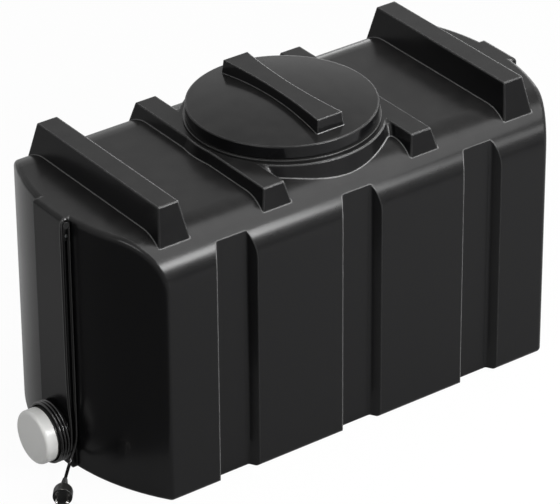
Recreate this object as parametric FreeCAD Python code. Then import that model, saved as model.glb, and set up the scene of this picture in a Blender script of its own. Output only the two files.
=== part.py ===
"""Black rotomoulded water tank with a screw lid and a plug-in immersion heater.

Millimetres. +Z is up and +X runs along the tank. The origin is the middle of the flat base.
The heater, its cord and the cord hook are on the -X end, the outlet is on the +X end.
"""
import FreeCAD
import Part
import math
import os

V = FreeCAD.Vector
X_AXIS = V(1, 0, 0)
Z_AXIS = V(0, 0, 1)

# Tank body
body_width = 500.0
body_height = 537.5
side_length = 874.0          # straight part of a long side, corner to corner
end_radius = 430.0           # plan radius of the bulged ends
shoulder_radius = 90.0       # long top edges
wall = 6.0
end_edge_round = 11.0        # around each end, and on the panels
base_edge_round = 9.0

# Slots in the long sides
slot_pitch = 283.0
slot_count = 3
slot_mouth = 90.0
slot_floor = 66.0
slot_depth = 20.0
slot_edge_round = 5.0

# Ribs across the top: two tall ones at the ends, two low ones beside the lid
rib_edge_round = 3.0
rib_root_drop = 60.0         # how far a rib runs down inside the body
tall_rib_x = 394.5
tall_rib_rise = 55.2         # over the top of the body
tall_rib_width = 45.0
tall_rib_length = 394.0
tall_rib_flank_draft = 9.3   # degrees
tall_rib_end_draft = 13.6
low_rib_x = 169.0
low_rib_rise = 22.5
low_rib_width = 46.6
low_rib_length = 411.0
low_rib_flank_draft = 13.0
low_rib_end_draft = 14.8

# Round platform that carries the neck
platform_rise = low_rib_rise
platform_radius = 195.0
platform_draft = 16.0
platform_edge_round = 2.0
platform_corner_round = 8.0  # where it runs into the low ribs
plan_overrun = 20.0  # the end arcs run on past the long sides before they are cut
neck_hole_radius = 152.0

# Flat panel on each end
panel_proud = 7.857          # from the bulge of the end to the panel's face
panel_width = 100.0
panel_edge_round = 2.0

# Neck ring, bolted on the platform
neck_gasket_thickness = 1.5
neck_flange_thickness = 3.0
neck_flange_radius = 186.0
neck_bore_radius = 148.0
neck_collar_outer = 169.0
neck_collar_inner = 162.0
neck_collar_height = 21.0
neck_screw_count = 12
neck_screw_circle = 155.5
neck_screw_radius = 2.5
neck_screw_head_radius = 4.6
neck_screw_head_height = 3.2
neck_screw_length = 16.0

# Screw lid
lid_radius = 182.0
lid_skirt_thickness = 9.0
lid_skirt_height = 26.0
lid_plate_thickness = 4.0
lid_dome_rise = 12.0
lid_edge_round = 3.0
lid_lift_clearance = 0.8     # lid's lower edge over the neck flange
lid_seal_width = 6.0         # inside the neck collar
lid_seal_thickness = 3.0
seat_clearance = 0.3
grip_height = 31.0           # over the rim of the lid
grip_length = 298.0
grip_width = 57.0
grip_waist = 38.0
grip_draft = 5.0
grip_edge_round = 1.6

# Heater on the -X end
heater_height = 66.0
thread_radius = 20.9         # G 1 1/4
thread_clearance = 0.4
gasket_outer = 31.0
gasket_thickness = 2.0
base_plate_thickness = 3.0
drum_radius = 53.0
drum_depth = 30.5            # panel face to the cover's rim
spigot_wall = 2.4
spigot_length = 7.0
hex_across = 55.0
hex_thickness = 9.0
locknut_across = 58.0
locknut_thickness = 9.0
element_radius = 4.2
element_spacing = 23.0
element_length = 300.0
stud_radius = 1.6
stud_length = 10.0
pocket_radius = 5.0
pocket_bore = 3.7
pocket_length = 240.0
probe_radius = 3.4
probe_length = 225.0
thermostat_width = 26.0
thermostat_height = 44.0
thermostat_depth = 18.0
thermostat_standoff = 3.0
dial_radius = 9.0
dial_thickness = 6.0
dial_shaft_radius = 3.0
dial_shaft_length = 6.0
running_clearance = 0.05
cover_depth = 24.5
cover_wall = 2.5
cover_front_round = 7.0
cover_seal_thickness = 1.0
terminal_screw_radius = 1.5
terminal_head_radius = 2.8
terminal_head_height = 2.0
terminal_screw_length = 7.0
lead_radius = 1.2
lead_spread = 1.6            # from the cord's centre line to each lead's

# Power cord, plug and hook
cord_diameter = 6.4
cord_turns = 3
turn_pitch = 7.6
turn_clearance = 0.5         # drum to the inside of the turns
grommet_radius = 4.4
grommet_depth = 7.0
grommet_angle = 230.0        # round the drum from the slotted side, over the top
grommet_lean = 30.0          # out of the tangent
hook_out = 0.2               # peg's axis in front of the panel's face
hook_drop = 6.5              # peg's axis below the top of the body
hook_gap_y = 56.5            # centre line of the two strands from the middle
hook_peg_radius = 4.8
hook_plate_out = 6.5         # front edge of the plate in front of the panel's face
hook_plate_width = 17.1
hook_plate_thickness = 2.5
hook_plate_drop = 37.0       # peg's axis to the plate's lower edge
hook_plate_over = 1.2        # plate's upper edge over the peg
hook_plate_corner = 4.0
hook_flange_radius = 7.0
hook_flange_thickness = 1.6
hook_screw_in = 5.4          # behind the panel's face
hook_screw_drop = 27.0       # below the peg's axis
hook_screw_radius = 1.75
hook_screw_head_radius = 3.4
hook_screw_length = 14.0
strand_start = 6.0           # leaves the turns, over the heater's axis
strand_end = 62.0            # starts to bend towards the plug, over the floor
plug_radius = 18.5
plug_length = 36.0
plug_neck_radius = 7.5
plug_relief_length = 24.0
plug_heading = 232.0         # direction of the pins in plan, degrees from +X
plug_out = 69.0              # middle of the plug in front of the panel's face
plug_aside = 124.0           # and towards the slotted side
pin_radius = 2.4
pin_length = 19.0
pin_spacing = 19.0
earth_strip_width = 4.5
earth_strip_thickness = 1.0
earth_strip_length = 15.0

# Outlet on the +X end
outlet_height = 58.0
outlet_bore = 12.1           # G 3/4
outlet_port_depth = 20.0
outlet_barrel_radius = 16.6
outlet_flange_radius = 27.0
outlet_flange_thickness = 6.0
outlet_hex_across = 42.0
outlet_hex_thickness = 14.0
outlet_nut_across = 48.0
outlet_nut_thickness = 9.0

# Worked-out places
half_width = body_width / 2
arc_centre = side_length / 2 - math.sqrt(end_radius ** 2 - half_width ** 2)
panel_reach = arc_centre + end_radius + panel_proud
platform_top = body_height + platform_rise
cord_radius = cord_diameter / 2
flange_base = platform_top + neck_gasket_thickness
flange_top = flange_base + neck_flange_thickness
collar_top = flange_base + neck_collar_height
lid_bottom = flange_top + lid_lift_clearance
lid_rim = lid_bottom + lid_skirt_height
turn_radius = drum_radius + turn_clearance + cord_radius
coil_back = panel_reach + turn_clearance
hex_front = panel_reach + gasket_thickness + base_plate_thickness + hex_thickness
cover_back = panel_reach + drum_depth + cover_seal_thickness
cover_front = cover_back + cover_depth
hook_x = -(panel_reach + hook_out)
hook_height = body_height - hook_drop
hook_screw_place = V(hook_screw_in - panel_reach, -panel_width / 2 - hook_plate_thickness,
                     hook_height - hook_screw_drop)
plug_centre = V(-(panel_reach + plug_out), -plug_aside, plug_radius)


def save(name, shape):
    shape.exportStep(os.path.join("parts", name + ".step"))
    box = shape.BoundBox
    print(f"{name:20s} solids {len(shape.Solids):2d} valid {shape.isValid()} "
          f"vol {shape.Volume / 1000:9.2f} cm3  x {box.XMin:.1f}..{box.XMax:.1f} "
          f"y {box.YMin:.1f}..{box.YMax:.1f} z {box.ZMin:.1f}..{box.ZMax:.1f}")


def block(x0, x1, y0, y1, z0, z1):
    return Part.makeBox(x1 - x0, y1 - y0, z1 - z0, V(x0, y0, z0))


def rod(radius, length, start, direction=Z_AXIS):
    return Part.makeCylinder(radius, length, start, direction)


def tube(outer, inner, length, start, direction=Z_AXIS):
    return rod(outer, length, start, direction).cut(rod(inner, length, start, direction))


def prism(points, direction):
    wire = Part.makePolygon(points + [points[0]])
    return Part.Face(wire).extrude(direction)


def hexagon(across, length, start, direction):
    """A hexagonal prism on the X axis, with flats above and below."""
    reach = across / math.sqrt(3)
    points = []
    for step in range(6):
        angle = math.radians(60 * step)
        points.append(start + V(0, reach * math.cos(angle), reach * math.sin(angle)))
    return prism(points, direction * length)


def out_of_end(distance, y=0.0, z=heater_height):
    """A point on the heater's end, this far from the middle of the tank."""
    return V(-distance, y, z)


# Tank shell

def plan_face(inset, z):
    """Plan outline of the body's bulged ends. It runs out past the long sides."""
    y = half_width + plan_overrun
    radius = end_radius - inset
    x = arc_centre + math.sqrt(radius ** 2 - y ** 2)
    tip = arc_centre + radius
    right = Part.Arc(V(x, -y, z), V(tip, 0, z), V(x, y, z)).toShape()
    left = Part.Arc(V(-x, y, z), V(-tip, 0, z), V(-x, -y, z)).toShape()
    front = Part.makeLine(V(-x, -y, z), V(x, -y, z))
    back = Part.makeLine(V(x, y, z), V(-x, y, z))
    return Part.Face(Part.Wire([front, right, back, left]))


def section_solid(inset):
    """Upright section with round shoulders, drawn out past both ends."""
    y = half_width - inset
    low = inset
    high = body_height - inset
    radius = shoulder_radius - inset
    start = -panel_reach - 50
    slant = radius * math.sqrt(0.5)
    edges = [
        Part.makeLine(V(start, -y, low), V(start, y, low)),
        Part.makeLine(V(start, y, low), V(start, y, high - radius)),
        Part.Arc(V(start, y, high - radius),
                 V(start, y - radius + slant, high - radius + slant),
                 V(start, y - radius, high)).toShape(),
        Part.makeLine(V(start, y - radius, high), V(start, -y + radius, high)),
        Part.Arc(V(start, -y + radius, high),
                 V(start, -y + radius - slant, high - radius + slant),
                 V(start, -y, high - radius)).toShape(),
        Part.makeLine(V(start, -y, high - radius), V(start, -y, low)),
    ]
    return Part.Face(Part.Wire(edges)).extrude(X_AXIS * (-2 * start))


def body_block(inset):
    """The body without slots or ribs. Inset 0 is the outside, the wall's thickness the inside."""
    tall = plan_face(inset, inset).extrude(Z_AXIS * (body_height - 2 * inset))
    right = tall.common(section_solid(inset)).common(
        block(0, 2 * panel_reach, -body_width, body_width, -1, 2 * body_height)).Solids[0]
    right = right.makeFillet(max(end_edge_round - inset, 3), end_edges(right, inset))
    lower = [edge for edge in right.Edges
             if edge.BoundBox.ZMax < inset + 0.01 and edge.BoundBox.XMax > 1]
    right = right.makeFillet(max(base_edge_round - inset, 3), lower)
    left = right.mirror(V(0, 0, 0), X_AXIS)
    return right.fuse(left).removeSplitter().Solids[0]


def end_edges(solid, inset):
    """The edges between the end and the sides, shoulders and top."""
    corner = arc_centre + math.sqrt((end_radius - inset) ** 2 - (half_width - inset) ** 2)
    return [edge for edge in solid.Edges
            if edge.BoundBox.XMin > corner - 0.01
            and edge.BoundBox.ZMax > inset + 0.01]


def slot_cutters(grow):
    """Upright channels in both long sides. Grown by the wall, they are the bumps inside."""
    cutters = []
    first = -(slot_count - 1) / 2
    out = half_width + 30
    floor = half_width - slot_depth - grow
    lean = (slot_mouth - slot_floor) / 2 / slot_depth
    half_floor = slot_floor / 2 + grow
    half_out = half_floor + lean * (out - floor)
    for number in range(slot_count):
        x = (first + number) * slot_pitch
        for side in (-1, 1):
            points = [V(x - half_floor, side * floor, -1), V(x + half_floor, side * floor, -1),
                      V(x + half_out, side * out, -1), V(x - half_out, side * out, -1)]
            cutter = prism(points, Z_AXIS * (body_height + 2))
            if grow == 0:
                corners = [edge for edge in cutter.Edges
                           if abs(edge.BoundBox.ZLength - body_height - 2) < 0.1
                           and abs(abs(edge.CenterOfMass.y) - floor) < 0.1]
                cutter = cutter.makeFillet(slot_edge_round, corners)
            cutters.append(cutter)
    return cutters


def rib(x, top, width, length, flank_draft, end_draft, inset):
    """A drafted rib across the tank. Inset gives the hollow inside it."""
    drop = top - inset - (body_height - rib_root_drop)
    top_x = width / 2 - inset
    top_y = length / 2 - inset
    low_x = top_x + drop * math.tan(math.radians(flank_draft))
    low_y = top_y + drop * math.tan(math.radians(end_draft))
    z_low = body_height - rib_root_drop
    rings = []
    for half_x, half_y, z in ((low_x, low_y, z_low), (top_x, top_y, top - inset)):
        corners = [V(x - half_x, -half_y, z), V(x + half_x, -half_y, z),
                   V(x + half_x, half_y, z), V(x - half_x, half_y, z)]
        rings.append(Part.makePolygon(corners + [corners[0]]))
    solid = Part.makeLoft(rings, True, True)
    if inset == 0:
        shown = [edge for edge in solid.Edges if edge.BoundBox.ZMax > z_low + 1]
        solid = solid.makeFillet(rib_edge_round, shown)
    return solid


def tall_ribs(inset):
    return [rib(side * tall_rib_x, body_height + tall_rib_rise, tall_rib_width, tall_rib_length,
                tall_rib_flank_draft, tall_rib_end_draft, inset) for side in (-1, 1)]


def low_ribs(inset):
    return [rib(side * low_rib_x, body_height + low_rib_rise, low_rib_width, low_rib_length,
                low_rib_flank_draft, low_rib_end_draft, inset) for side in (-1, 1)]


def platform(inset):
    """Round drafted platform under the neck ring."""
    low = body_height - shoulder_radius / 2
    top = platform_top - inset
    top_radius = platform_radius - inset
    low_radius = top_radius + (top - low) * math.tan(math.radians(platform_draft))
    solid = Part.makeCone(low_radius, top_radius, top - low, V(0, 0, low))
    if inset == 0:
        rim = [edge for edge in solid.Edges
               if edge.BoundBox.ZMin > top - 0.01 and edge.BoundBox.XLength > 1]
        solid = solid.makeFillet(platform_edge_round, rim)
    return solid


def platform_and_low_ribs(inset):
    """The platform runs into the low ribs, with rounded corners on the outside."""
    solid = platform(inset).multiFuse(low_ribs(inset))
    if inset > 0:
        return solid
    corners = []
    for edge in solid.Edges:
        middle = edge.CenterOfMass
        radius = math.hypot(middle.x, middle.y)
        if (edge.BoundBox.ZLength > platform_rise / 2 and platform_radius < radius
                and abs(middle.x) < low_rib_x and abs(middle.y) < low_rib_length / 2 - 10):
            corners.append(edge)
    return solid.makeFillet(platform_corner_round, corners)


def panels(inset):
    """Flat panels on both ends, where the heater and the outlet are fitted."""
    made = []
    half = panel_width / 2 - inset
    reach = panel_reach - inset
    for side in (-1, 1):
        face_x = side * reach
        root_x = side * (reach - 60)
        solid = block(min(face_x, root_x), max(face_x, root_x), -half, half,
                      inset, body_height - inset)
        if inset == 0:
            face_edges = [edge for edge in solid.Edges
                          if abs(edge.BoundBox.XMin - face_x) < 0.01
                          and abs(edge.BoundBox.XMax - face_x) < 0.01]
            level = [edge for edge in face_edges if edge.BoundBox.YLength > 1]
            upright = [edge for edge in face_edges if edge.BoundBox.ZLength > 1]
            solid = solid.makeFillet(panel_edge_round, upright)
            level = [edge for edge in solid.Edges
                     if abs(edge.BoundBox.XMin - face_x) < 0.01
                     and abs(edge.BoundBox.XMax - face_x) < 0.01
                     and edge.BoundBox.YLength > 1]
            solid = solid.makeFillet(base_edge_round, level)
        made.append(solid)
    return made


def tank_shell():
    outside = body_block(0).multiFuse(tall_ribs(0) + [platform_and_low_ribs(0)] + panels(0))
    outside = outside.cut(Part.makeCompound(slot_cutters(0)))
    inside = body_block(wall).multiFuse(
        tall_ribs(wall) + [platform_and_low_ribs(wall)] + panels(wall))
    inside = inside.cut(Part.makeCompound(slot_cutters(wall)))
    shell = outside.cut(inside)
    holes = [
        rod(neck_hole_radius, 40, V(0, 0, platform_top - 30)),
        rod(thread_radius + thread_clearance, 60, out_of_end(panel_reach + 10), X_AXIS),
        rod(outlet_barrel_radius + thread_clearance, 60,
            V(panel_reach + 10, 0, outlet_height), -X_AXIS),
        rod(hook_screw_radius, hook_screw_length, hook_screw_place, V(0, 1, 0)),
    ]
    for place in neck_screw_places():
        holes.append(rod(neck_screw_radius, neck_screw_length + 8, place - V(0, 0, 20)))
    return shell.cut(Part.makeCompound(holes))


# Neck ring and lid

def neck_screw_places():
    """Where the screw heads sit on the neck flange."""
    places = []
    for number in range(neck_screw_count):
        angle = 2 * math.pi * number / neck_screw_count
        places.append(V(neck_screw_circle * math.cos(angle),
                        neck_screw_circle * math.sin(angle), flange_top))
    return places


def drill_neck_screws(shape):
    for place in neck_screw_places():
        shape = shape.cut(rod(neck_screw_radius, 20, place - V(0, 0, 10)))
    return shape


def neck_gasket():
    ring = tube(neck_flange_radius - 2, neck_hole_radius - 2, neck_gasket_thickness,
                V(0, 0, platform_top))
    return drill_neck_screws(ring)


def neck_ring():
    flange = tube(neck_flange_radius, neck_bore_radius, neck_flange_thickness,
                  V(0, 0, flange_base))
    collar = tube(neck_collar_outer, neck_collar_inner, neck_collar_height,
                  V(0, 0, flange_base))
    return drill_neck_screws(flange.fuse(collar))


def neck_ring_screws():
    screws = []
    for place in neck_screw_places():
        shank = rod(neck_screw_radius, neck_screw_length, place - V(0, 0, neck_screw_length))
        head = rod(neck_screw_head_radius, neck_screw_head_height, place)
        screws.append(shank.fuse(head))
    return Part.makeCompound(screws)


def dome(radius, rise, z):
    """Shallow spherical cap, flat face down at this height."""
    sphere_radius = (radius ** 2 + rise ** 2) / 2 / rise
    ball = Part.makeSphere(sphere_radius, V(0, 0, z + rise - sphere_radius))
    return ball.common(rod(radius, rise + 1, V(0, 0, z)))


def grip_bar():
    """Bar across the lid, waisted in the middle, with drafted flanks."""
    low = lid_rim - lid_plate_thickness / 2
    high = lid_rim + grip_height
    spread = (high - low) * math.tan(math.radians(grip_draft))
    rings = []
    for grow, z in ((spread, low), (0, high)):
        end_x = grip_width / 2 + grow
        waist_x = grip_waist / 2 + grow
        end_y = grip_length / 2 + grow
        right = Part.Arc(V(end_x, -end_y, z), V(waist_x, 0, z), V(end_x, end_y, z)).toShape()
        back = Part.makeLine(V(end_x, end_y, z), V(-end_x, end_y, z))
        left = Part.Arc(V(-end_x, end_y, z), V(-waist_x, 0, z), V(-end_x, -end_y, z)).toShape()
        front = Part.makeLine(V(-end_x, -end_y, z), V(end_x, -end_y, z))
        rings.append(Part.Wire([right, back, left, front]))
    bar = Part.makeLoft(rings, True, True)
    shown = [edge for edge in bar.Edges if edge.BoundBox.ZMax > low + 1]
    return bar.makeFillet(grip_edge_round, shown)


def screw_lid():
    skirt = rod(lid_radius, lid_skirt_height, V(0, 0, lid_bottom))
    body = skirt.fuse(dome(lid_radius, lid_dome_rise, lid_rim)).removeSplitter()
    rims = [edge for edge in body.Edges
            if edge.BoundBox.XLength > 2 * lid_radius - 1 and edge.BoundBox.ZLength < 0.01]
    body = body.makeFillet(lid_edge_round, rims)
    inner = lid_radius - lid_skirt_thickness
    ceiling = collar_top + lid_seal_thickness + seat_clearance
    hollow = rod(inner, ceiling - lid_bottom, V(0, 0, lid_bottom))
    middle = neck_collar_inner - lid_seal_width
    cavity = dome(middle, lid_dome_rise * (middle / lid_radius) ** 2,
                  lid_rim - lid_plate_thickness)
    floor = rod(middle, lid_rim - lid_plate_thickness - ceiling, V(0, 0, ceiling))
    return body.cut(hollow).cut(floor.fuse(cavity)).fuse(grip_bar())


def lid_seal():
    outer = lid_radius - lid_skirt_thickness - seat_clearance
    inner = neck_collar_inner - lid_seal_width
    return tube(outer, inner, lid_seal_thickness, V(0, 0, collar_top))


# Heater

def heater_base():
    """Round housing clamped against the panel, with a spigot for the cover."""
    start = out_of_end(panel_reach + gasket_thickness)
    depth = drum_depth - gasket_thickness
    drum = rod(drum_radius, depth, start, -X_AXIS)
    spigot_outer = drum_radius - cover_wall - seat_clearance / 2
    drum = drum.fuse(rod(spigot_outer, depth + spigot_length, start, -X_AXIS))
    inside = rod(spigot_outer - spigot_wall, 2 * depth,
                 out_of_end(panel_reach + gasket_thickness + base_plate_thickness), -X_AXIS)
    thread_hole = rod(thread_radius + thread_clearance, 20, out_of_end(panel_reach - 5), -X_AXIS)
    return drum.cut(inside).cut(thread_hole).cut(grommet_rod(grommet_radius, 3 * grommet_depth))


def grommet_place():
    """The point where the cord's centre line leaves the drum, and its direction there."""
    turn = math.radians(grommet_angle)
    lean = math.radians(grommet_angle + 90 - grommet_lean)
    x = panel_reach + drum_depth - grommet_radius - 0.7
    place = out_of_end(x, -drum_radius * math.cos(turn),
                       heater_height + drum_radius * math.sin(turn))
    return place, V(0, -math.cos(lean), math.sin(lean))


def grommet_rod(radius, reach):
    """Round the cord where it comes out, starting this far inside the drum."""
    place, direction = grommet_place()
    return rod(radius, reach + grommet_depth, place - direction * reach, direction)


def cord_grommet():
    """Rubber bush in a slanting hole of the drum, flush with its outside."""
    bush = grommet_rod(grommet_radius, 2 * grommet_depth)
    bush = bush.cut(grommet_rod(cord_radius, 2 * grommet_depth))
    drum = rod(drum_radius, 2 * drum_depth, out_of_end(panel_reach - 5), -X_AXIS)
    return bush.common(drum).Solids[0]


def heater_gaskets():
    outside = tube(gasket_outer, thread_radius + thread_clearance, gasket_thickness,
                   out_of_end(panel_reach), -X_AXIS)
    inside = tube(gasket_outer, thread_radius + thread_clearance, gasket_thickness,
                  out_of_end(panel_reach - wall), X_AXIS)
    return Part.makeCompound([outside, inside])


def element_legs():
    """Heights of the two legs of the heating element."""
    return (heater_height - element_spacing / 2, heater_height + element_spacing / 2)


def heater_plug():
    """Threaded brass body with a hexagon, bored for the element and the pocket."""
    hexagon_body = hexagon(hex_across, hex_thickness, out_of_end(hex_front), X_AXIS)
    reach = base_plate_thickness + 2 * gasket_thickness + wall + locknut_thickness + 3
    thread = rod(thread_radius, reach, out_of_end(hex_front - hex_thickness), X_AXIS)
    body = hexagon_body.fuse(thread)
    drill = hex_thickness + reach + 10
    for z in element_legs():
        body = body.cut(rod(element_radius, drill, out_of_end(hex_front + 5, 0, z), X_AXIS))
    body = body.cut(rod(pocket_radius, drill, out_of_end(hex_front + 5), X_AXIS))
    return body.cut(earth_screw_rod(terminal_screw_radius))


def heater_locknut():
    back = panel_reach - wall - gasket_thickness
    nut = hexagon(locknut_across, locknut_thickness, out_of_end(back), X_AXIS)
    return nut.cut(rod(thread_radius + running_clearance, 40, out_of_end(back + 10), X_AXIS))


def heating_element():
    """Sheathed hairpin with a contact stud on each leg."""
    bend_x = panel_reach - element_length
    low, high = element_legs()
    parts = []
    for z in (low, high):
        parts.append(rod(element_radius, hex_front - bend_x, out_of_end(hex_front, 0, z), X_AXIS))
        parts.append(rod(stud_radius, stud_length, out_of_end(hex_front, 0, z), -X_AXIS))
    circle = Part.Face(Part.Wire(Part.makeCircle(element_radius, out_of_end(bend_x, 0, high),
                                                 X_AXIS)))
    bend = circle.revolve(out_of_end(bend_x), V(0, 1, 0), 180)
    return parts[0].multiFuse(parts[1:] + [bend]).removeSplitter()


def thermostat_pocket():
    """Closed tube between the legs that keeps the probe dry."""
    body = rod(pocket_radius, pocket_length, out_of_end(hex_front), X_AXIS)
    bore = rod(pocket_bore, pocket_length - 2, out_of_end(hex_front + 1), X_AXIS)
    return body.cut(bore)


def thermostat():
    """Rod thermostat: a block on the contact studs and a probe in the pocket."""
    back = hex_front + thermostat_standoff
    half_y = thermostat_width / 2
    half_z = thermostat_height / 2
    body = block(-back - thermostat_depth, -back, -half_y, half_y,
                 heater_height - half_z, heater_height + half_z)
    body = body.makeFillet(1.5, body.Edges)
    body = body.fuse(rod(probe_radius, probe_length + thermostat_standoff + 1,
                         out_of_end(back + 1), X_AXIS))
    for z in element_legs():
        body = body.cut(rod(stud_radius + 0.1, stud_length - thermostat_standoff + 0.3,
                            out_of_end(back, 0, z), -X_AXIS))
    body = body.cut(rod(dial_shaft_radius + running_clearance, dial_shaft_length,
                        out_of_end(back + thermostat_depth), X_AXIS))
    for place in terminal_screw_places():
        body = body.cut(rod(terminal_screw_radius, terminal_screw_length, place, X_AXIS))
    return body


def thermostat_dial():
    front = hex_front + thermostat_standoff + thermostat_depth
    knob = rod(dial_radius, dial_thickness, out_of_end(front + seat_clearance), -X_AXIS)
    knob = knob.makeChamfer(0.8, [edge for edge in knob.Edges if edge.BoundBox.YLength > 1])
    shaft = rod(dial_shaft_radius, dial_shaft_length - 0.5 + seat_clearance + 1,
                out_of_end(front + seat_clearance + 1), X_AXIS)
    slot = block(-front - seat_clearance - dial_thickness - 1,
                 -front - seat_clearance - dial_thickness + 1.5,
                 -0.8, 0.8, heater_height - dial_radius, heater_height + dial_radius)
    return knob.fuse(shaft).cut(slot)


def terminal_screw_places():
    """Live and neutral screws on the thermostat's face."""
    front = hex_front + thermostat_standoff + thermostat_depth
    reach = thermostat_height / 2 - 5.5
    return [out_of_end(front, 0, heater_height - reach), out_of_end(front, 0, heater_height + reach)]


def terminal_screws():
    screws = []
    for place in terminal_screw_places():
        shank = rod(terminal_screw_radius, terminal_screw_length, place, X_AXIS)
        head = rod(terminal_head_radius, terminal_head_height, place, -X_AXIS)
        screws.append(shank.fuse(head))
    return Part.makeCompound(screws)


def earth_screw_place():
    return out_of_end(hex_front, hex_across / 2 - 6, heater_height)


def earth_screw_rod(radius):
    return rod(radius, terminal_screw_length, earth_screw_place(), X_AXIS)


def earth_screw():
    head = rod(terminal_head_radius, terminal_head_height, earth_screw_place(), -X_AXIS)
    return head.fuse(earth_screw_rod(terminal_screw_radius))


def lead(points):
    """Insulated wire from the cord's end to its screw."""
    return sweep(rounded_path(points, {}), lead_radius)


def lead_start(turn):
    """A place on the grommet's inner end, beside the cord's centre line."""
    place, direction = grommet_place()
    inner = place - direction * (2 * grommet_depth + 0.3)
    aside = direction.cross(X_AXIS)
    angle = math.radians(turn)
    return inner + (X_AXIS * math.cos(angle) + aside * math.sin(angle)) * lead_spread


def live_lead():
    face = hex_front + thermostat_standoff + thermostat_depth + lead_radius
    screw = terminal_screw_places()[0]
    start = lead_start(90)
    return lead([start, start + V(-1.5, -2, 8), out_of_end(face, 27, heater_height - 12),
                 out_of_end(face, 14, screw.z + 1),
                 out_of_end(face, terminal_head_radius + lead_radius / 2, screw.z)])


def neutral_lead():
    face = hex_front + thermostat_standoff + thermostat_depth + lead_radius
    screw = terminal_screw_places()[1]
    start = lead_start(210)
    return lead([start, start + V(-1, 0.5, 9), out_of_end(face - 2, 35, heater_height + 4),
                 out_of_end(face, 24, screw.z - 2),
                 out_of_end(face, terminal_head_radius + lead_radius / 2, screw.z)])


def earth_lead():
    place = earth_screw_place()
    start = lead_start(330)
    face = hex_front + lead_radius
    return lead([start, start + V(2, -1, 9), out_of_end(face + 2, 33, heater_height - 8),
                 out_of_end(face + 0.1, place.y + terminal_head_radius + lead_radius,
                            heater_height)])


def heater_cover():
    """White push-on cap over the terminals, with a soft front edge."""
    cap = rod(drum_radius, cover_depth, out_of_end(cover_back), -X_AXIS)
    front = [edge for edge in cap.Edges
             if edge.BoundBox.XMax < -cover_front + 0.01 and edge.BoundBox.YLength > 1]
    cap = cap.makeFillet(cover_front_round, front)
    hollow = rod(drum_radius - cover_wall, cover_depth - cover_wall, out_of_end(cover_back),
                 -X_AXIS)
    front = [edge for edge in hollow.Edges
             if edge.BoundBox.XMax < -cover_front + cover_wall + 0.01
             and edge.BoundBox.YLength > 1]
    hollow = hollow.makeFillet(cover_front_round - cover_wall, front)
    return cap.cut(hollow)


def cover_seal():
    return tube(drum_radius - 0.2, drum_radius - cover_wall, cover_seal_thickness,
                out_of_end(panel_reach + drum_depth), -X_AXIS)


# Cord, plug and hook

def rounded_path(points, radii):
    """Straight runs joined by tangent arcs. Prints the radius at each turn."""
    edges = []
    start = points[0]
    shown = []
    for number in range(1, len(points) - 1):
        before = points[number] - points[number - 1]
        after = points[number + 1] - points[number]
        turn = before.getAngle(after)
        radius = radii.get(number)
        if radius is None:
            radius = 0.45 * min(before.Length, after.Length) / math.tan(turn / 2)
        shown.append(round(radius, 1))
        cut = radius * math.tan(turn / 2)
        first = points[number] - before.normalize() * cut
        last = points[number] + after.normalize() * cut
        inward = (last - points[number]) + (first - points[number])
        inward.normalize()
        gap = radius / math.cos(turn / 2) - radius
        middle = points[number] + inward * gap
        if (first - start).Length > 0.001:
            edges.append(Part.makeLine(start, first))
        edges.append(Part.Arc(first, middle, last).toShape())
        start = last
    edges.append(Part.makeLine(start, points[-1]))
    print("cord radii", shown)
    return Part.Wire(edges)


def sweep(path, radius):
    start = path.Edges[0].Vertexes[0].Point
    ahead = path.Edges[0].Vertexes[1].Point - start
    circle = Part.Wire(Part.makeCircle(radius, start, ahead))
    solid = path.makePipeShell([circle], True, False)
    expected = math.pi * radius ** 2 * path.Length
    print(f"cord tube {path.Length:.1f} mm, volume {solid.Volume:.0f} of {expected:.0f}")
    return solid


def plug_direction():
    heading = math.radians(plug_heading)
    return V(math.cos(heading), math.sin(heading), 0)


def plug_tail():
    """Back end of the plug's strain relief."""
    return plug_centre - plug_direction() * (plug_length / 2 + plug_relief_length)


def power_cord():
    """The cord from the turns up over the hook and down again to the plug."""
    bend = hook_peg_radius + cord_radius
    near_x = hook_x + bend
    far_x = hook_x - bend
    top = hook_height + bend
    coil_x = -(coil_back + cord_radius)
    points = [
        V(coil_x, -turn_radius, heater_height + strand_start),
        V(coil_x - 0.4, -turn_radius, heater_height + strand_start + 44),
        V(far_x, -hook_gap_y, heater_height + strand_start + 104),
        V(far_x, -hook_gap_y, top),
        V(near_x, -hook_gap_y, top),
        V(near_x, -hook_gap_y, strand_end + 42),
        V(near_x - 0.8, -hook_gap_y - 0.1, strand_end),
        V(near_x - 18.8, -hook_gap_y - 1.6, plug_radius + 5.5),
        plug_tail(),
    ]
    return sweep(rounded_path(points, {3: bend, 4: bend}), cord_radius)


def cord_wraps():
    """Outer shape of the turns round the heater's housing."""
    length = cord_turns * turn_pitch + cord_diameter
    return tube(turn_radius + cord_radius, drum_radius + turn_clearance, length,
                out_of_end(coil_back), -X_AXIS)


def plug_body():
    """Round mains plug lying on its side, with a tapered strain relief."""
    ahead = plug_direction()
    back = plug_tail()
    relief = Part.makeCone(cord_radius + 1.2, plug_neck_radius, plug_relief_length, back, ahead)
    shoulder = Part.makeCone(plug_neck_radius, plug_radius, plug_length * 0.45,
                             back + ahead * plug_relief_length, ahead)
    head = rod(plug_radius, plug_length * 0.55,
               back + ahead * (plug_relief_length + plug_length * 0.45), ahead)
    body = relief.multiFuse([shoulder, head]).removeSplitter()
    for start, direction in pin_axes():
        body = body.cut(rod(pin_radius, 10, start - direction * 10, direction))
    for strip in earth_strips():
        body = body.cut(strip)
    return body


def pin_axes():
    """Roots of the two pins on the plug's face."""
    ahead = plug_direction()
    across = V(-ahead.y, ahead.x, 0)
    face = plug_centre + ahead * (plug_length / 2)
    return [(face + across * (side * pin_spacing / 2), ahead) for side in (-1, 1)]


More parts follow.
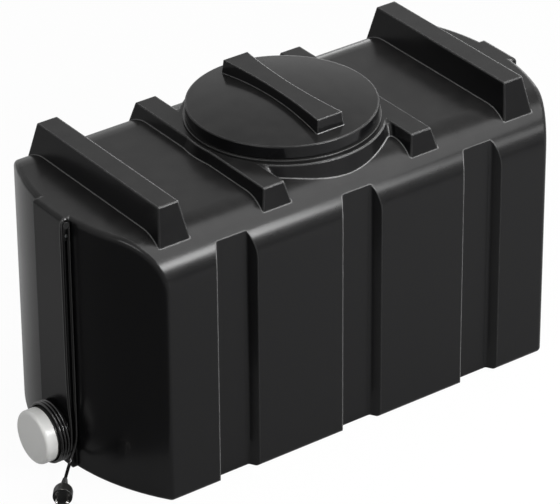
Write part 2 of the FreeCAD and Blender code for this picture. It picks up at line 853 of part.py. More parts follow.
def plug_pins():
    pins = []
    for start, direction in pin_axes():
        pin = rod(pin_radius, pin_length + 10, start - direction * 10, direction)
        tip = start + direction * pin_length
        round_end = [edge for edge in pin.Edges
                     if (edge.CenterOfMass - tip).Length < 0.1 and edge.Closed]
        pins.append(pin.makeFillet(1.2, round_end))
    return Part.makeCompound(pins)


def earth_strips():
    """Contact strips let into the top and bottom of the plug's head."""
    ahead = plug_direction()
    across = V(-ahead.y, ahead.x, 0)
    strips = []
    for side in (-1, 1):
        strip = Part.makeBox(earth_strip_width, earth_strip_length, earth_strip_thickness)
        strip.translate(V(-earth_strip_width / 2, 0, -earth_strip_thickness / 2))
        strip.rotate(V(0, 0, 0), Z_AXIS, plug_heading + 90)
        corner = plug_centre + ahead * (plug_length / 2)
        lift = plug_radius - earth_strip_thickness * 1.2
        strip.translate(corner + V(0, 0, side * lift))
        strips.append(strip)
    return strips


def plug_earth_contacts():
    return Part.makeCompound(earth_strips())


def cord_hook():
    """Plate on the edge of the panel, with a peg that the cord hangs on."""
    face = -panel_width / 2
    front = face - hook_plate_thickness
    edge = -(panel_reach + hook_plate_out)
    plate = block(edge, edge + hook_plate_width, front, face, hook_height - hook_plate_drop,
                  hook_height + hook_peg_radius + hook_plate_over)
    corners = [edge for edge in plate.Edges
               if abs(edge.BoundBox.YLength - hook_plate_thickness) < 0.01]
    plate = plate.makeFillet(hook_plate_corner, corners)
    reach = hook_gap_y + cord_radius + 0.6 + front
    peg = rod(hook_peg_radius, reach, V(hook_x, front, hook_height), V(0, -1, 0))
    cap = rod(hook_flange_radius, hook_flange_thickness,
              V(hook_x, front - reach, hook_height), V(0, -1, 0))
    return plate.multiFuse([peg, cap]).cut(hook_screw_blank())


def hook_screw_blank():
    """Countersunk screw, flush with the plate so that the cord passes over it."""
    sink = hook_screw_head_radius - hook_screw_radius
    head = Part.makeCone(hook_screw_head_radius, hook_screw_radius, sink,
                         hook_screw_place, V(0, 1, 0))
    return head.fuse(rod(hook_screw_radius, hook_screw_length, hook_screw_place, V(0, 1, 0)))


def hook_screw():
    """The countersunk screw with its cross recess."""
    reach = 0.6 * hook_screw_head_radius
    half_slot = 0.1 * hook_screw_head_radius
    x, y, z = hook_screw_place
    blank = hook_screw_blank()
    for half_x, half_z in ((reach, half_slot), (half_slot, reach)):
        blank = blank.cut(block(x - half_x, x + half_x, y - 1, y + 0.8, z - half_z, z + half_z))
    return blank


# Outlet

def outlet_fitting():
    face = V(panel_reach + gasket_thickness, 0, outlet_height)
    reach = gasket_thickness * 2 + wall + outlet_nut_thickness + 3
    parts = [
        rod(outlet_flange_radius, outlet_flange_thickness, face, X_AXIS),
        hexagon(outlet_hex_across, outlet_hex_thickness,
                face + X_AXIS * outlet_flange_thickness, X_AXIS),
    ]
    barrel = rod(outlet_barrel_radius, reach, face, -X_AXIS)
    body = barrel.multiFuse(parts)
    mouth = face + X_AXIS * (outlet_flange_thickness + outlet_hex_thickness)
    body = body.cut(rod(outlet_bore, outlet_port_depth, mouth, -X_AXIS))
    return body.cut(rod(outlet_bore - 2.5, 100, mouth, -X_AXIS))


def outlet_gaskets():
    outer = outlet_flange_radius - 1
    inner = outlet_barrel_radius + thread_clearance
    outside = tube(outer, inner, gasket_thickness, V(panel_reach, 0, outlet_height), X_AXIS)
    inside = tube(outer, inner, gasket_thickness, V(panel_reach - wall, 0, outlet_height), -X_AXIS)
    return Part.makeCompound([outside, inside])


def outlet_nut():
    place = V(panel_reach - wall - gasket_thickness, 0, outlet_height)
    nut = hexagon(outlet_nut_across, outlet_nut_thickness, place, -X_AXIS)
    return nut.cut(rod(outlet_barrel_radius + running_clearance, 40, place + X_AXIS * 5, -X_AXIS))


def build():
    os.makedirs("parts", exist_ok=True)
    for piece in (tank_shell, neck_gasket, neck_ring, neck_ring_screws, lid_seal, screw_lid,
                  heater_gaskets, heater_base, heater_plug, heater_locknut, heating_element,
                  thermostat_pocket, thermostat, thermostat_dial, terminal_screws, earth_screw,
                  live_lead, neutral_lead, earth_lead, cover_seal, heater_cover, cord_grommet, cord_wraps, power_cord, plug_body,
                  plug_pins, plug_earth_contacts, cord_hook, hook_screw,
                  outlet_fitting, outlet_gaskets, outlet_nut):
        save(piece.__name__, piece())


build()
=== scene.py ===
from math import cos, pi, radians, sin

import bmesh
import bpy
from mathutils import Matrix, Vector


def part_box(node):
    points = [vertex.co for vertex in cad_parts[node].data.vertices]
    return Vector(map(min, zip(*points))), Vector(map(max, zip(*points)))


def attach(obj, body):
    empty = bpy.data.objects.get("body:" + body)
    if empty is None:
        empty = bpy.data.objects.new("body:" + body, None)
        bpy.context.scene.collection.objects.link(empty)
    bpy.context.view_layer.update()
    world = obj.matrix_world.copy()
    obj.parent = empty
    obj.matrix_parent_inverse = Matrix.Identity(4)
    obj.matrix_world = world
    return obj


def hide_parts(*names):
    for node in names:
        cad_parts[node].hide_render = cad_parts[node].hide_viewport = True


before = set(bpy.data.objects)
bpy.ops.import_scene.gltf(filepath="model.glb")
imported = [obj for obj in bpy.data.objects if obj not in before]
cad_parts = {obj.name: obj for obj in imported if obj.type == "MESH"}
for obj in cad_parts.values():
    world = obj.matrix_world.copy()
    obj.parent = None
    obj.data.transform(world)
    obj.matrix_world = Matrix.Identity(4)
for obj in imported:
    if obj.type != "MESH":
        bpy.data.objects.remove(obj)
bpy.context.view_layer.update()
collection = bpy.context.scene.collection


# Camera: a long lens from above the tank's left front corner, so that the end with the
# heater, one long side and the top all show.
camera_heading = 0.9431      # from +X towards +Y, radians
camera_dip = 0.5312          # below the horizon
camera_roll = -0.0076        # about the line of sight
camera = bpy.data.objects.new("camera", bpy.data.cameras.new("camera"))
collection.objects.link(camera)
look = Vector((cos(camera_heading) * cos(camera_dip), sin(camera_heading) * cos(camera_dip),
               -sin(camera_dip)))
right = Vector((sin(camera_heading), -cos(camera_heading), 0))
up = right.cross(look)
level_right = right * cos(camera_roll) + up * sin(camera_roll)
level_up = up * cos(camera_roll) - right * sin(camera_roll)
camera.matrix_world = Matrix((level_right, level_up, -look)).transposed().to_4x4()
camera.location = (-3.7304, -5.1310, 3.9898)
camera.data.sensor_width = 36       # millimetres, as is the lens
camera.data.lens = 247.97
bpy.context.scene.camera = camera
bpy.context.scene.view_settings.view_transform = "Standard"


# Studio: a pale floor that runs to the horizon in an even white room. Soft lamps light the
# slotted side, the top, the heater's end and the far rim. A dark cloth on the floor, seen only
# in reflections, keeps the near corner of the glossy end dark.
def maths(tree, operation, first, second=None, clamp=False):
    """A Math node on two values, each a number or another node's socket."""
    node = tree.nodes.new("ShaderNodeMath")
    node.operation = operation
    node.use_clamp = clamp
    for socket, value in zip(node.inputs, (first, second)):
        if isinstance(value, (int, float)):
            socket.default_value = value
        elif value is not None:
            tree.links.new(value, socket)
    return node.outputs["Value"]


def mixed(tree, share, plain, other):
    """One shader, with the other mixed in by share."""
    node = tree.nodes.new("ShaderNodeMixShader")
    tree.links.new(share, node.inputs["Fac"])
    tree.links.new(plain, node.inputs[1])
    tree.links.new(other, node.inputs[2])
    return node.outputs["Shader"]


white = (1, 1, 1, 1)
fill_strength = 0.38         # what the room adds to the light on matt surfaces
wall_strength = 1.0          # how bright it looks, in the picture and in reflections
room = bpy.data.worlds.new("white room")
bpy.context.scene.world = room
room.use_nodes = True
tree = room.node_tree
tree.nodes.clear()
rays = tree.nodes.new("ShaderNodeLightPath").outputs
soft_fill = tree.nodes.new("ShaderNodeBackground")
soft_fill.inputs["Color"].default_value = white
soft_fill.inputs["Strength"].default_value = fill_strength
white_wall = tree.nodes.new("ShaderNodeBackground")
white_wall.inputs["Color"].default_value = white
white_wall.inputs["Strength"].default_value = wall_strength
seen = maths(tree, "MAXIMUM", rays["Is Camera Ray"], rays["Is Glossy Ray"])
seen_through = maths(tree, "MAXIMUM", seen, rays["Is Transmission Ray"])
room_out = tree.nodes.new("ShaderNodeOutputWorld")
tree.links.new(mixed(tree, seen_through, soft_fill.outputs["Background"],
                     white_wall.outputs["Background"]), room_out.inputs["Surface"])

floor_reach = 7.0
camera_share = 0.965         # how far the floor goes to plain white in the picture
glossy_share = 0.25          # and in reflections
floor_mesh = bpy.data.meshes.new("floor")
floor_mesh.from_pydata([(-floor_reach, -floor_reach, 0), (floor_reach, -floor_reach, 0),
                        (floor_reach, floor_reach, 0), (-floor_reach, floor_reach, 0)],
                       [], [(0, 1, 2, 3)])
floor = bpy.data.objects.new("floor", floor_mesh)
collection.objects.link(floor)
floor_paint = bpy.data.materials.new("pale floor")
floor_paint.use_nodes = True
tree = floor_paint.node_tree
tree.nodes.clear()
rays = tree.nodes.new("ShaderNodeLightPath").outputs
floor_matt = tree.nodes.new("ShaderNodeBsdfDiffuse")
floor_matt.inputs["Color"].default_value = (0.42, 0.42, 0.42, 1)
floor_white = tree.nodes.new("ShaderNodeEmission")
floor_white.inputs["Color"].default_value = white
floor_white.inputs["Strength"].default_value = 1.0
whiteness = maths(tree, "ADD", maths(tree, "MULTIPLY", rays["Is Camera Ray"], camera_share),
                  maths(tree, "MULTIPLY", rays["Is Glossy Ray"], glossy_share))
whiteness = maths(tree, "MAXIMUM", whiteness, rays["Is Transmission Ray"])
floor_out = tree.nodes.new("ShaderNodeOutputMaterial")
tree.links.new(mixed(tree, whiteness, floor_matt.outputs["BSDF"],
                     floor_white.outputs["Emission"]), floor_out.inputs["Surface"])
floor_mesh.materials.append(floor_paint)


def soft_lamp(name, place, aim, width, height, power):
    """A rectangular lamp that faces aim, its power in watts."""
    lamp = bpy.data.objects.new(name, bpy.data.lights.new(name, "AREA"))
    lamp.data.shape = "RECTANGLE"
    lamp.data.size = width
    lamp.data.size_y = height
    lamp.data.energy = power
    lamp.location = place
    lamp.rotation_euler = (Vector(aim) - Vector(place)).to_track_quat("-Z", "Y").to_euler()
    collection.objects.link(lamp)


soft_lamp("side softbox", place=(0.75, -2.5, 1.72), aim=(-0.3, -0.2, 0.48),
          width=1.2, height=0.66, power=125)
soft_lamp("side softbox, far end", place=(1.92, -2.5, 1.58), aim=(0.2, -0.2, 0.48),
          width=1.15, height=0.55, power=20)
soft_lamp("overhead softbox", place=(1.1, -1.1, 2.85), aim=(-0.1, -0.2, 0.5),
          width=2.3, height=2.6, power=118)
soft_lamp("strip over the heater end", place=(-2.05, -0.6, 2.1), aim=(-0.5, -0.2, 0.4),
          width=1.7, height=0.42, power=30)
soft_lamp("rim softbox", place=(3.2, 3.1, 0.75), aim=(0, 0, 0.5),
          width=2.4, height=0.9, power=18)

flag_height = 0.001
flag_outline = [(-0.60, -1.0), (-0.60, 0.02), (-1.3, 0.75), (-1.7, 0.75), (-1.7, -1.0)]
flag_mesh = bpy.data.meshes.new("black flag")
flag_mesh.from_pydata([(x, y, flag_height) for x, y in flag_outline], [], [(0, 1, 2, 3, 4)])
flag = bpy.data.objects.new("black flag", flag_mesh)
collection.objects.link(flag)
flag.visible_camera = False
flag.visible_diffuse = False
flag.visible_shadow = False
flag_cloth = bpy.data.materials.new("flag cloth")
flag_cloth.use_nodes = True
cloth = flag_cloth.node_tree.nodes["Principled BSDF"].inputs
cloth["Base Color"].default_value = (0.12, 0.12, 0.12, 1)
cloth["Specular IOR Level"].default_value = 0
flag_mesh.materials.append(flag_cloth)


# Surface effects shared by the finishes below: the faint orange peel and uneven gloss that a
# mould leaves, pale edges that are partly scuffing and partly painted highlight where they face
# the lamps, and dust lying on faces that look up.
def effect(name, entries, exits):
    """A new node group with its sockets, and its input and output nodes."""
    group = bpy.data.node_groups.new(name, "ShaderNodeTree")
    for label, value in entries:
        socket = group.interface.new_socket(label, in_out="INPUT", socket_type="NodeSocketFloat")
        socket.default_value = value
    for label, kind in exits:
        group.interface.new_socket(label, in_out="OUTPUT", socket_type=kind)
    return group, group.nodes.new("NodeGroupInput"), group.nodes.new("NodeGroupOutput")


def noise(tree, scale, detail):
    """A noise texture laid in the object's own space."""
    node = tree.nodes.new("ShaderNodeTexNoise")
    node.inputs["Detail"].default_value = detail
    if isinstance(scale, (int, float)):
        node.inputs["Scale"].default_value = scale
    else:
        tree.links.new(scale, node.inputs["Scale"])
    place = tree.nodes.new("ShaderNodeTexCoord")
    tree.links.new(place.outputs["Object"], node.inputs["Vector"])
    return node.outputs["Fac"]


skin, skin_in, skin_out = effect(
    "moulded skin",
    [("Grain Size", 0.003), ("Roughness", 0.2), ("Unevenness", 0.04)],
    [("Roughness", "NodeSocketFloat"), ("Height", "NodeSocketFloat")])
grain = noise(skin, maths(skin, "DIVIDE", 1.0, skin_in.outputs["Grain Size"]), detail=3)
clouds = noise(skin, scale=14, detail=4)
uneven = maths(skin, "MULTIPLY", maths(skin, "SUBTRACT", clouds, 0.5),
               skin_in.outputs["Unevenness"])
skin.links.new(maths(skin, "ADD", skin_in.outputs["Roughness"], uneven),
               skin_out.inputs["Roughness"])
skin.links.new(grain, skin_out.inputs["Height"])

edge_gain = 14.0             # how soon a turned normal counts as an edge
edge_least = 0.08            # scuffing and painted highlight on edges that face away from the lamps
highlight_aim = (1.1, 0, 1.3)     # painted highlight: edges that face this way, towards the lamps, get the pale edge colour most
edges, edges_in, edges_out = effect(
    "edge wear and painted highlight",
    [("Width", 0.003), ("Amount", 1.0)],
    [("Mask", "NodeSocketFloat"), ("Normal", "NodeSocketVector")])
softened = edges.nodes.new("ShaderNodeBevel")
softened.samples = 6
edges.links.new(edges_in.outputs["Width"], softened.inputs["Radius"])
surface = edges.nodes.new("ShaderNodeNewGeometry")
turned = edges.nodes.new("ShaderNodeVectorMath")
turned.operation = "DOT_PRODUCT"
edges.links.new(softened.outputs["Normal"], turned.inputs[0])
edges.links.new(surface.outputs["Normal"], turned.inputs[1])
edge_ness = maths(edges, "MULTIPLY", maths(edges, "SUBTRACT", 1.0, turned.outputs["Value"]),
                  edge_gain, clamp=True)
aimed = edges.nodes.new("ShaderNodeVectorMath")
aimed.operation = "DOT_PRODUCT"
aimed.inputs[1].default_value = highlight_aim
edges.links.new(softened.outputs["Normal"], aimed.inputs[0])
# Painted highlight: the edge mask is weighted by how far each edge faces the lamps.
rubbed_and_lit = maths(edges, "ADD", maths(edges, "MAXIMUM", aimed.outputs["Value"], 0.0), edge_least)
broken = maths(edges, "ADD", maths(edges, "MULTIPLY", noise(edges, scale=60, detail=5), 0.8),
               0.4, clamp=True)
worn_and_lit_edge = maths(edges, "MULTIPLY", maths(edges, "MULTIPLY", edge_ness, broken), rubbed_and_lit)
edges.links.new(maths(edges, "MULTIPLY", worn_and_lit_edge, edges_in.outputs["Amount"], clamp=True),
                edges_out.inputs["Mask"])
edges.links.new(softened.outputs["Normal"], edges_out.inputs["Normal"])

dust, dust_in, dust_out = effect(
    "settled dust", [("Amount", 0.02)], [("Mask", "NodeSocketFloat")])
facing = dust.nodes.new("ShaderNodeNewGeometry")
tilt = dust.nodes.new("ShaderNodeSeparateXYZ")
dust.links.new(facing.outputs["Normal"], tilt.inputs["Vector"])
lying = maths(dust, "MULTIPLY", maths(dust, "MAXIMUM", tilt.outputs["Z"], 0.0),
              noise(dust, scale=30, detail=8))
dust.links.new(maths(dust, "MULTIPLY", lying, dust_in.outputs["Amount"]),
               dust_out.inputs["Mask"])
dust_color = (0.36, 0.35, 0.33, 1)


def with_group(tree, group, **values):
    """A node that holds group, with its inputs set by name."""
    node = tree.nodes.new("ShaderNodeGroup")
    node.node_tree = group
    for label, value in values.items():
        node.inputs[label.replace("_", " ")].default_value = value
    return node.outputs


def finish_of(name, color, worn_and_highlight, roughness, uneven, grain_size, grain_depth, specular,
              edge_width, edge_amount, dust_amount, metallic=0.0):
    """A moulded, rubber or metal finish: a colour with dust and paler edges over a fine grain;
    the edges are worn and painted lighter where they face the lamps.
    """
    paint = bpy.data.materials.new(name)
    paint.use_nodes = True
    tree = paint.node_tree
    shader = tree.nodes["Principled BSDF"]
    shader.inputs["Metallic"].default_value = metallic
    shader.inputs["Specular IOR Level"].default_value = specular
    shader.inputs["Base Color"].default_value = (*color, 1)
    surface_skin = with_group(tree, skin, Grain_Size=grain_size, Roughness=roughness,
                              Unevenness=uneven)
    wear_and_highlight = with_group(tree, edges, Width=edge_width, Amount=edge_amount)
    if edge_amount or dust_amount:
        dusting = with_group(tree, dust, Amount=dust_amount)
        worn_and_lit_mix = tree.nodes.new("ShaderNodeMix")
        worn_and_lit_mix.data_type = "RGBA"
        worn_and_lit_mix.inputs["A"].default_value = (*color, 1)
        worn_and_lit_mix.inputs["B"].default_value = (*worn_and_highlight, 1)
        dusty_mix = tree.nodes.new("ShaderNodeMix")
        dusty_mix.data_type = "RGBA"
        dusty_mix.inputs["B"].default_value = dust_color
        # Wear and painted highlight: the edge mask mixes in the pale edge colour, most where
        # edges face the lamps.
        tree.links.new(wear_and_highlight["Mask"], worn_and_lit_mix.inputs["Factor"])
        tree.links.new(worn_and_lit_mix.outputs["Result"], dusty_mix.inputs["A"])
        tree.links.new(dusting["Mask"], dusty_mix.inputs["Factor"])
        tree.links.new(dusty_mix.outputs["Result"], shader.inputs["Base Color"])
    bump = tree.nodes.new("ShaderNodeBump")
    bump.inputs["Distance"].default_value = grain_depth
    bump.inputs["Strength"].default_value = 1.0
    tree.links.new(surface_skin["Roughness"], shader.inputs["Roughness"])
    tree.links.new(surface_skin["Height"], bump.inputs["Height"])
    tree.links.new(wear_and_highlight["Normal"], bump.inputs["Normal"])
    tree.links.new(bump.outputs["Normal"], shader.inputs["Normal"])
    return paint


def dress(paint, *names):
    """Gives the finish to every slot of the named CAD pieces."""
    for name in names:
        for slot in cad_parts[name].material_slots:
            slot.material = paint


# Power cord: a light rubber-sheathed lead. It leaves the heater's housing low down, is wound
# round it behind the cap, goes up over the hook and hangs down again to the plug.
cord_diameter = 0.0064
housing_height = 0.066       # middle of the heater over the floor
winding_radius = 0.0567
points_per_turn = 16
first_turn_x, last_turn_x = -0.5512, -0.5287
cord_exit = Vector((-0.5504, 0.0341, 0.0254))
exit_way = Vector((0, -0.342, -0.940))

cord_points = [cord_exit - exit_way * 0.013, cord_exit - exit_way * 0.004,
               cord_exit + exit_way * 0.009]
first_step, last_step = 11, 64           # sixteenths of a turn, from the slotted side
spread = winding_radius / cos(pi / points_per_turn)     # the curve passes inside its points
for step in range(first_step, last_step):
    angle = 2 * pi * step / points_per_turn
    along = (step - first_step) / (last_step - first_step)
    cord_points.append(Vector((first_turn_x + (last_turn_x - first_turn_x) * along,
                               -spread * cos(angle), housing_height + spread * sin(angle))))
cord_points += [Vector(point) for point in (
    (-0.5287, -0.0568, 0.072), (-0.5291, -0.0567, 0.116), (-0.5332, -0.0565, 0.176),
    (-0.5332, -0.0565, 0.500), (-0.5335, -0.0565, 0.5415), (-0.5169, -0.0565, 0.5415),
    (-0.5172, -0.0565, 0.500), (-0.5172, -0.0565, 0.104), (-0.5180, -0.0566, 0.062),
    (-0.5360, -0.0581, 0.024), (-0.5681, -0.0909, 0.0185), (-0.5700, -0.0933, 0.0185))]

cord_curve = bpy.data.curves.new("power_lead", "CURVE")
cord_curve.dimensions = "3D"
cord_line = cord_curve.splines.new("NURBS")
cord_line.points.add(len(cord_points) - 1)
for control, point in zip(cord_line.points, cord_points):
    control.co = (*point, 1)
    control.radius = cord_diameter / 2
cord_line.order_u = 3
cord_line.use_endpoint_u = True
cord_line.resolution_u = 12
power_lead = bpy.data.objects.new("power_lead", cord_curve)
collection.objects.link(power_lead)
bpy.context.view_layer.update()
cord_track = bpy.data.meshes.new_from_object(power_lead)    # its middle line, still without skin
cord_way = [vertex.co.copy() for vertex in cord_track.vertices]
bpy.data.meshes.remove(cord_track)
cord_curve.bevel_depth = 1.0         # times each point's radius
cord_curve.bevel_resolution = 5
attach(power_lead, "tank")
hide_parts("power_cord", "cord_wraps")
sheath = finish_of(
    "black rubber sheath", color=(0.002, 0.002, 0.002), worn_and_highlight=(0.03, 0.03, 0.03), roughness=0.18,
    uneven=0.08, grain_size=0.0012, grain_depth=0.00003, specular=0.40, edge_width=0.0004,
    edge_amount=0.0, dust_amount=0.01)
cord_curve.materials.append(sheath)


# Strain relief: a tapered rubber sleeve on the cord where it leaves the housing. It is
# moulded on the sheath and grips it for the first few centimetres, with shallow grooves.
relief_start = 0.010         # from the cord's end inside the housing
relief_length = 0.026
relief_step = 0.0015
sleeve_radius = 0.0041
sleeve_tip_radius = cord_diameter / 2 + 0.0003
sleeve_groove = 0.00025
sleeve_sides = 20


def skinned(name, loops, tidy_normals=False):
    """A closed piece through a row of loops of points, with a flat face at both ends."""
    mesh = bmesh.new()
    rings = [[mesh.verts.new(point) for point in loop] for loop in loops]
    for back, front in zip(rings, rings[1:]):
        for corner in range(len(back)):
            after = (corner + 1) % len(back)
            mesh.faces.new((back[corner], back[after], front[after], front[corner]))
    mesh.faces.new(list(reversed(rings[0])))
    mesh.faces.new(rings[-1])
    if tidy_normals:
        bmesh.ops.recalc_face_normals(mesh, faces=mesh.faces)
    data = bpy.data.meshes.new(name)
    mesh.to_mesh(data)
    mesh.free()
    piece = bpy.data.objects.new(name, data)
    collection.objects.link(piece)
    return piece


def smooth_sides(piece):
    """Shades the four-cornered faces smooth and leaves the ends flat."""
    for face in piece.data.polygons:
        face.use_smooth = len(face.vertices) == 4


def stretch_of(way, start, length, gap):
    """The part of way between two distances along it, a point every gap."""
    gone, picked, next_at = 0.0, [], start
    for a, b in zip(way, way[1:]):
        step = (b - a).length
        while step > 0 and next_at <= gone + step and next_at <= start + length + 1e-6:
            picked.append(a.lerp(b, (next_at - gone) / step))
            next_at += gap
        gone += step
    return picked


relief_way = stretch_of(cord_way, relief_start, relief_length, relief_step)
relief_loops = []
side = Vector((1, 0, 0))
for number, spot in enumerate(relief_way):
    along = number / (len(relief_way) - 1)
    radius = sleeve_radius + (sleeve_tip_radius - sleeve_radius) * along
    if number % 3 == 2:
        radius -= sleeve_groove
    ahead = (relief_way[min(number + 1, len(relief_way) - 1)]
             - relief_way[max(number - 1, 0)]).normalized()
    side = (side - ahead * side.dot(ahead)).normalized()
    over = ahead.cross(side)
    relief_loops.append([spot + (side * cos(2 * pi * turn / sleeve_sides)
                                 + over * sin(2 * pi * turn / sleeve_sides)) * radius
                         for turn in range(sleeve_sides)])
relief = skinned("lead_strain_relief", relief_loops)
smooth_sides(relief)
relief.data.materials.append(sheath)
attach(relief, "tank")


# Plug: a round two-pin mains plug moulded in black rubber, lying on its side on the floor. Its
# ribbed neck is the cord's strain relief, and the head has finger grips and earth contacts.
plug_radius = 0.0185
plug_middle = Vector((-0.594, -0.124, plug_radius))
plug_heading = radians(232)
plug_ahead = Vector((cos(plug_heading), sin(plug_heading), 0))
plug_across = Vector((0, 0, 1))
plug_side = plug_ahead.cross(plug_across)
plug_tail = plug_middle - plug_ahead * 0.042     # where the cord goes in
neck_rings = 6
neck_length = 0.022
grip_depth = 0.0005
grip_count = 36
grip_start, grip_end = 0.0425, 0.0570
plug_profile = []                        # distance from the tail, radius
for ring in range(neck_rings):
    near = neck_length * ring / neck_rings
    rise = 0.0044 + 0.0031 * ring / neck_rings
    plug_profile += [(near, rise), (near + 0.0022, rise + 0.0004), (near + 0.0024, rise - 0.0007),
                     (near + 0.0032, rise - 0.0006), (near + 0.0034, rise + 0.0004)]
plug_profile += [(0.0222, 0.0076), (0.0238, 0.0079), (0.0262, 0.0096), (0.0300, 0.0127),
                 (0.0340, 0.0157), (0.0380, 0.0177), (0.0408, 0.01835), (0.0430, 0.0185),
                 (0.0500, 0.0185), (0.0560, 0.0185), (0.0588, 0.0184), (0.0597, 0.0180),
                 (0.0600, 0.0172), (0.0600, 0.0150), (0.0596, 0.0146), (0.0596, 0.0100),
                 (0.0596, 0.0020)]
plug_sides = 72
plug_loops = []
for along, radius in plug_profile:
    loop = []
    for turn in range(plug_sides):
        angle = 2 * pi * turn / plug_sides
        reach = radius
        if grip_start < along < grip_end and abs(sin(angle)) > 0.5:
            reach -= grip_depth * (0.5 - 0.5 * cos(grip_count * angle))
        loop.append(plug_tail + plug_ahead * along + plug_across * (cos(angle) * reach)
                    + plug_side * (sin(angle) * reach))
    plug_loops.append(loop)
mains_plug = skinned("mains_plug", plug_loops, tidy_normals=True)
smooth_sides(mains_plug)
plug_rubber = finish_of(
    "moulded plug rubber", color=(0.005, 0.005, 0.005), worn_and_highlight=(0.035, 0.035, 0.035),
    roughness=0.30, uneven=0.10, grain_size=0.0010, grain_depth=0.00005, specular=0.25,
    edge_width=0.0006, edge_amount=0.5, dust_amount=0.03)
mains_plug.data.materials.append(plug_rubber)
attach(mains_plug, "tank")
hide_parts("plug_body")
nickel = finish_of(
    "nickel plate", color=(0.62, 0.60, 0.57), worn_and_highlight=(0.55, 0.45, 0.25), roughness=0.16,
    uneven=0.10, grain_size=0.0008, grain_depth=0.00001, specular=0.5, edge_width=0.0004,
    edge_amount=0.6, dust_amount=0.02, metallic=1.0)
dress(nickel, "plug_pins", "plug_earth_contacts")


# Cord hook: a small moulded bracket, screwed to the edge of the end panel with one countersunk
# screw. The cord hangs over its peg.
housing_plastic = finish_of(
    "black moulded plastic", color=(0.010, 0.010, 0.010), worn_and_highlight=(0.06, 0.06, 0.06),
    roughness=0.24, uneven=0.06, grain_size=0.0012, grain_depth=0.00004, specular=0.15,
    edge_width=0.0012, edge_amount=0.12, dust_amount=0.02)
zinc = finish_of(
    "zinc plated steel", color=(0.55, 0.56, 0.58), worn_and_highlight=(0.35, 0.33, 0.30), roughness=0.28,
    uneven=0.16, grain_size=0.0010, grain_depth=0.00001, specular=0.5, edge_width=0.0005,
    edge_amount=0.5, dust_amount=0.03, metallic=1.0)
dress(housing_plastic, "cord_hook")
dress(zinc, "hook_screw")


# Tank: one rotomoulded polyethylene shell, black and glossy. The mould leaves a faint ripple,
# and the edges of ribs, slots and ends are rounded and slightly scuffed; their pale grey edge
# colour is mostly painted highlight, strongest on the edges that face the lamps.
polyethylene = finish_of(
    "black polyethylene", color=(0.0026, 0.0026, 0.0028), worn_and_highlight=(0.42, 0.42, 0.42),
    roughness=0.23, uneven=0.05, grain_size=0.010, grain_depth=0.00006, specular=0.125,
    edge_width=0.004, edge_amount=0.45, dust_amount=0.02)
dress(polyethylene, "tank_shell")


# Neck ring: a black flanged collar held down on the platform by twelve screws over a flat
# gasket. The lid's thread runs on the outside of its collar.
ring_plastic = finish_of(
    "black ring plastic", color=(0.010, 0.010, 0.010), worn_and_highlight=(0.12, 0.12, 0.12), roughness=0.22,
    uneven=0.06, grain_size=0.002, grain_depth=0.00003, specular=0.3, edge_width=0.0015,
    edge_amount=0.6, dust_amount=0.02)
gasket_rubber = finish_of(
    "gasket rubber", color=(0.014, 0.014, 0.014), worn_and_highlight=(0.05, 0.05, 0.05), roughness=0.6,
    uneven=0.1, grain_size=0.0008, grain_depth=0.00005, specular=0.4, edge_width=0.0006,
    edge_amount=0.3, dust_amount=0.04)
dress(ring_plastic, "neck_ring")
dress(zinc, "neck_ring_screws")
dress(gasket_rubber, "neck_gasket")

collar_radius = 0.169
thread_height = 0.0026
thread_root = -0.0006        # a little inside the collar
thread_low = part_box("neck_ring")[0].z + 0.0065
thread_pitch = 0.006
thread_turns = 1.6
steps_per_turn = 96
taper_steps = 8
thread_loops = []
total_steps = int(thread_turns * steps_per_turn)
for step in range(total_steps + 1):
    angle = 2 * pi * step / steps_per_turn
    crest = thread_height * min(1.0, step / taper_steps, (total_steps - step) / taper_steps)
    height = thread_low + thread_pitch * step / steps_per_turn
    thread_loops.append([
        ((collar_radius + out) * cos(angle), (collar_radius + out) * sin(angle), height + rise)
        for out, rise in ((thread_root, -0.0019), (crest, -0.0007),
                          (crest, 0.0005), (thread_root, 0.0012))])
neck_thread = skinned("neck_thread", thread_loops, tidy_normals=True)
neck_thread.data.materials.append(ring_plastic)
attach(neck_thread, "tank")


# Screw lid: a domed black lid with a deep skirt and a waisted grip bar across its top. Its flat
# rubber seal lies between the collar's top edge and the lid.
# As on the tank, the lid's pale grey edge colour is mostly painted highlight on the edges that
# face the lamps.
lid_plastic = finish_of(
    "black lid plastic", color=(0.0026, 0.0026, 0.0028), worn_and_highlight=(0.42, 0.42, 0.42),
    roughness=0.16, uneven=0.05, grain_size=0.006, grain_depth=0.00004, specular=0.13,
    edge_width=0.003, edge_amount=0.45, dust_amount=0.02)
dress(lid_plastic, "screw_lid")
dress(gasket_rubber, "lid_seal")


# Immersion heater: a black plastic housing clamped to the end panel by a brass plug and its
# locknut, with the bent stainless element and the thermostat's pocket inside the tank.
brass = finish_of(
    "turned brass", color=(0.66, 0.46, 0.20), worn_and_highlight=(0.80, 0.62, 0.34), roughness=0.22,
    uneven=0.12, grain_size=0.0006, grain_depth=0.00001, specular=0.5, edge_width=0.0006,
    edge_amount=0.6, dust_amount=0.02, metallic=1.0)
stainless = finish_of(
    "drawn stainless tube", color=(0.56, 0.56, 0.57), worn_and_highlight=(0.62, 0.62, 0.63), roughness=0.25,
    uneven=0.15, grain_size=0.0009, grain_depth=0.00001, specular=0.5, edge_width=0.0005,
    edge_amount=0.3, dust_amount=0.0, metallic=1.0)
phenolic = finish_of(
    "brown phenolic", color=(0.045, 0.022, 0.014), worn_and_highlight=(0.12, 0.07, 0.05), roughness=0.42,
    uneven=0.10, grain_size=0.0009, grain_depth=0.00003, specular=0.5, edge_width=0.0008,
    edge_amount=0.5, dust_amount=0.03)
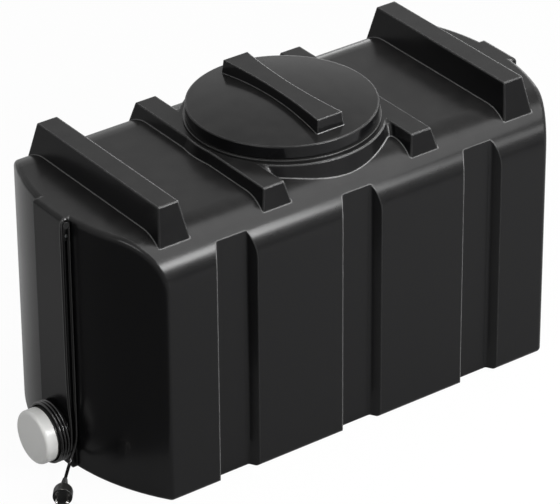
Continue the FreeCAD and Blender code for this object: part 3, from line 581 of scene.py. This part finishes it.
dial_plastic = finish_of(
    "red dial plastic", color=(0.42, 0.035, 0.025), worn_and_highlight=(0.55, 0.12, 0.10), roughness=0.35,
    uneven=0.08, grain_size=0.0009, grain_depth=0.00002, specular=0.5, edge_width=0.0006,
    edge_amount=0.5, dust_amount=0.02)
brown_wire = finish_of(
    "brown wire", color=(0.16, 0.06, 0.025), worn_and_highlight=(0.2, 0.1, 0.05), roughness=0.4, uneven=0.08,
    grain_size=0.0005, grain_depth=0.00001, specular=0.5, edge_width=0.0002, edge_amount=0.0,
    dust_amount=0.0)
blue_wire = finish_of(
    "blue wire", color=(0.02, 0.08, 0.36), worn_and_highlight=(0.1, 0.15, 0.4), roughness=0.4, uneven=0.08,
    grain_size=0.0005, grain_depth=0.00001, specular=0.5, edge_width=0.0002, edge_amount=0.0,
    dust_amount=0.0)
green_wire = finish_of(
    "green and yellow wire", color=(0.05, 0.30, 0.05), worn_and_highlight=(0.1, 0.3, 0.1), roughness=0.4,
    uneven=0.08, grain_size=0.0005, grain_depth=0.00001, specular=0.5, edge_width=0.0002,
    edge_amount=0.0, dust_amount=0.0)
dress(housing_plastic, "heater_base")
dress(gasket_rubber, "heater_gaskets", "cord_grommet")
dress(brass, "heater_plug", "heater_locknut", "terminal_screws")
dress(stainless, "heating_element", "thermostat_pocket")
dress(phenolic, "thermostat")
dress(dial_plastic, "thermostat_dial")
dress(zinc, "earth_screw")
dress(gasket_rubber, "cover_seal")
dress(brown_wire, "live_lead")
dress(blue_wire, "neutral_lead")
dress(green_wire, "earth_lead")


# Heater cover: a push-on cap over the heater's terminals, moulded in satin white
# polypropylene with a rounded front edge. It pushes on the rim of the housing.
white_plastic = finish_of(
    "white polypropylene", color=(0.46, 0.46, 0.45), worn_and_highlight=(0.62, 0.62, 0.60), roughness=0.34,
    uneven=0.06, grain_size=0.0016, grain_depth=0.00003, specular=0.45, edge_width=0.001,
    edge_amount=0.15, dust_amount=0.05)
dress(white_plastic, "heater_cover")


# Outlet: a moulded black plastic fitting with a pipe thread, low in the end panel that is
# away from the heater. A nut and two rubber gaskets clamp it through the wall.
dress(ring_plastic, "outlet_fitting", "outlet_nut")
dress(gasket_rubber, "outlet_gaskets")
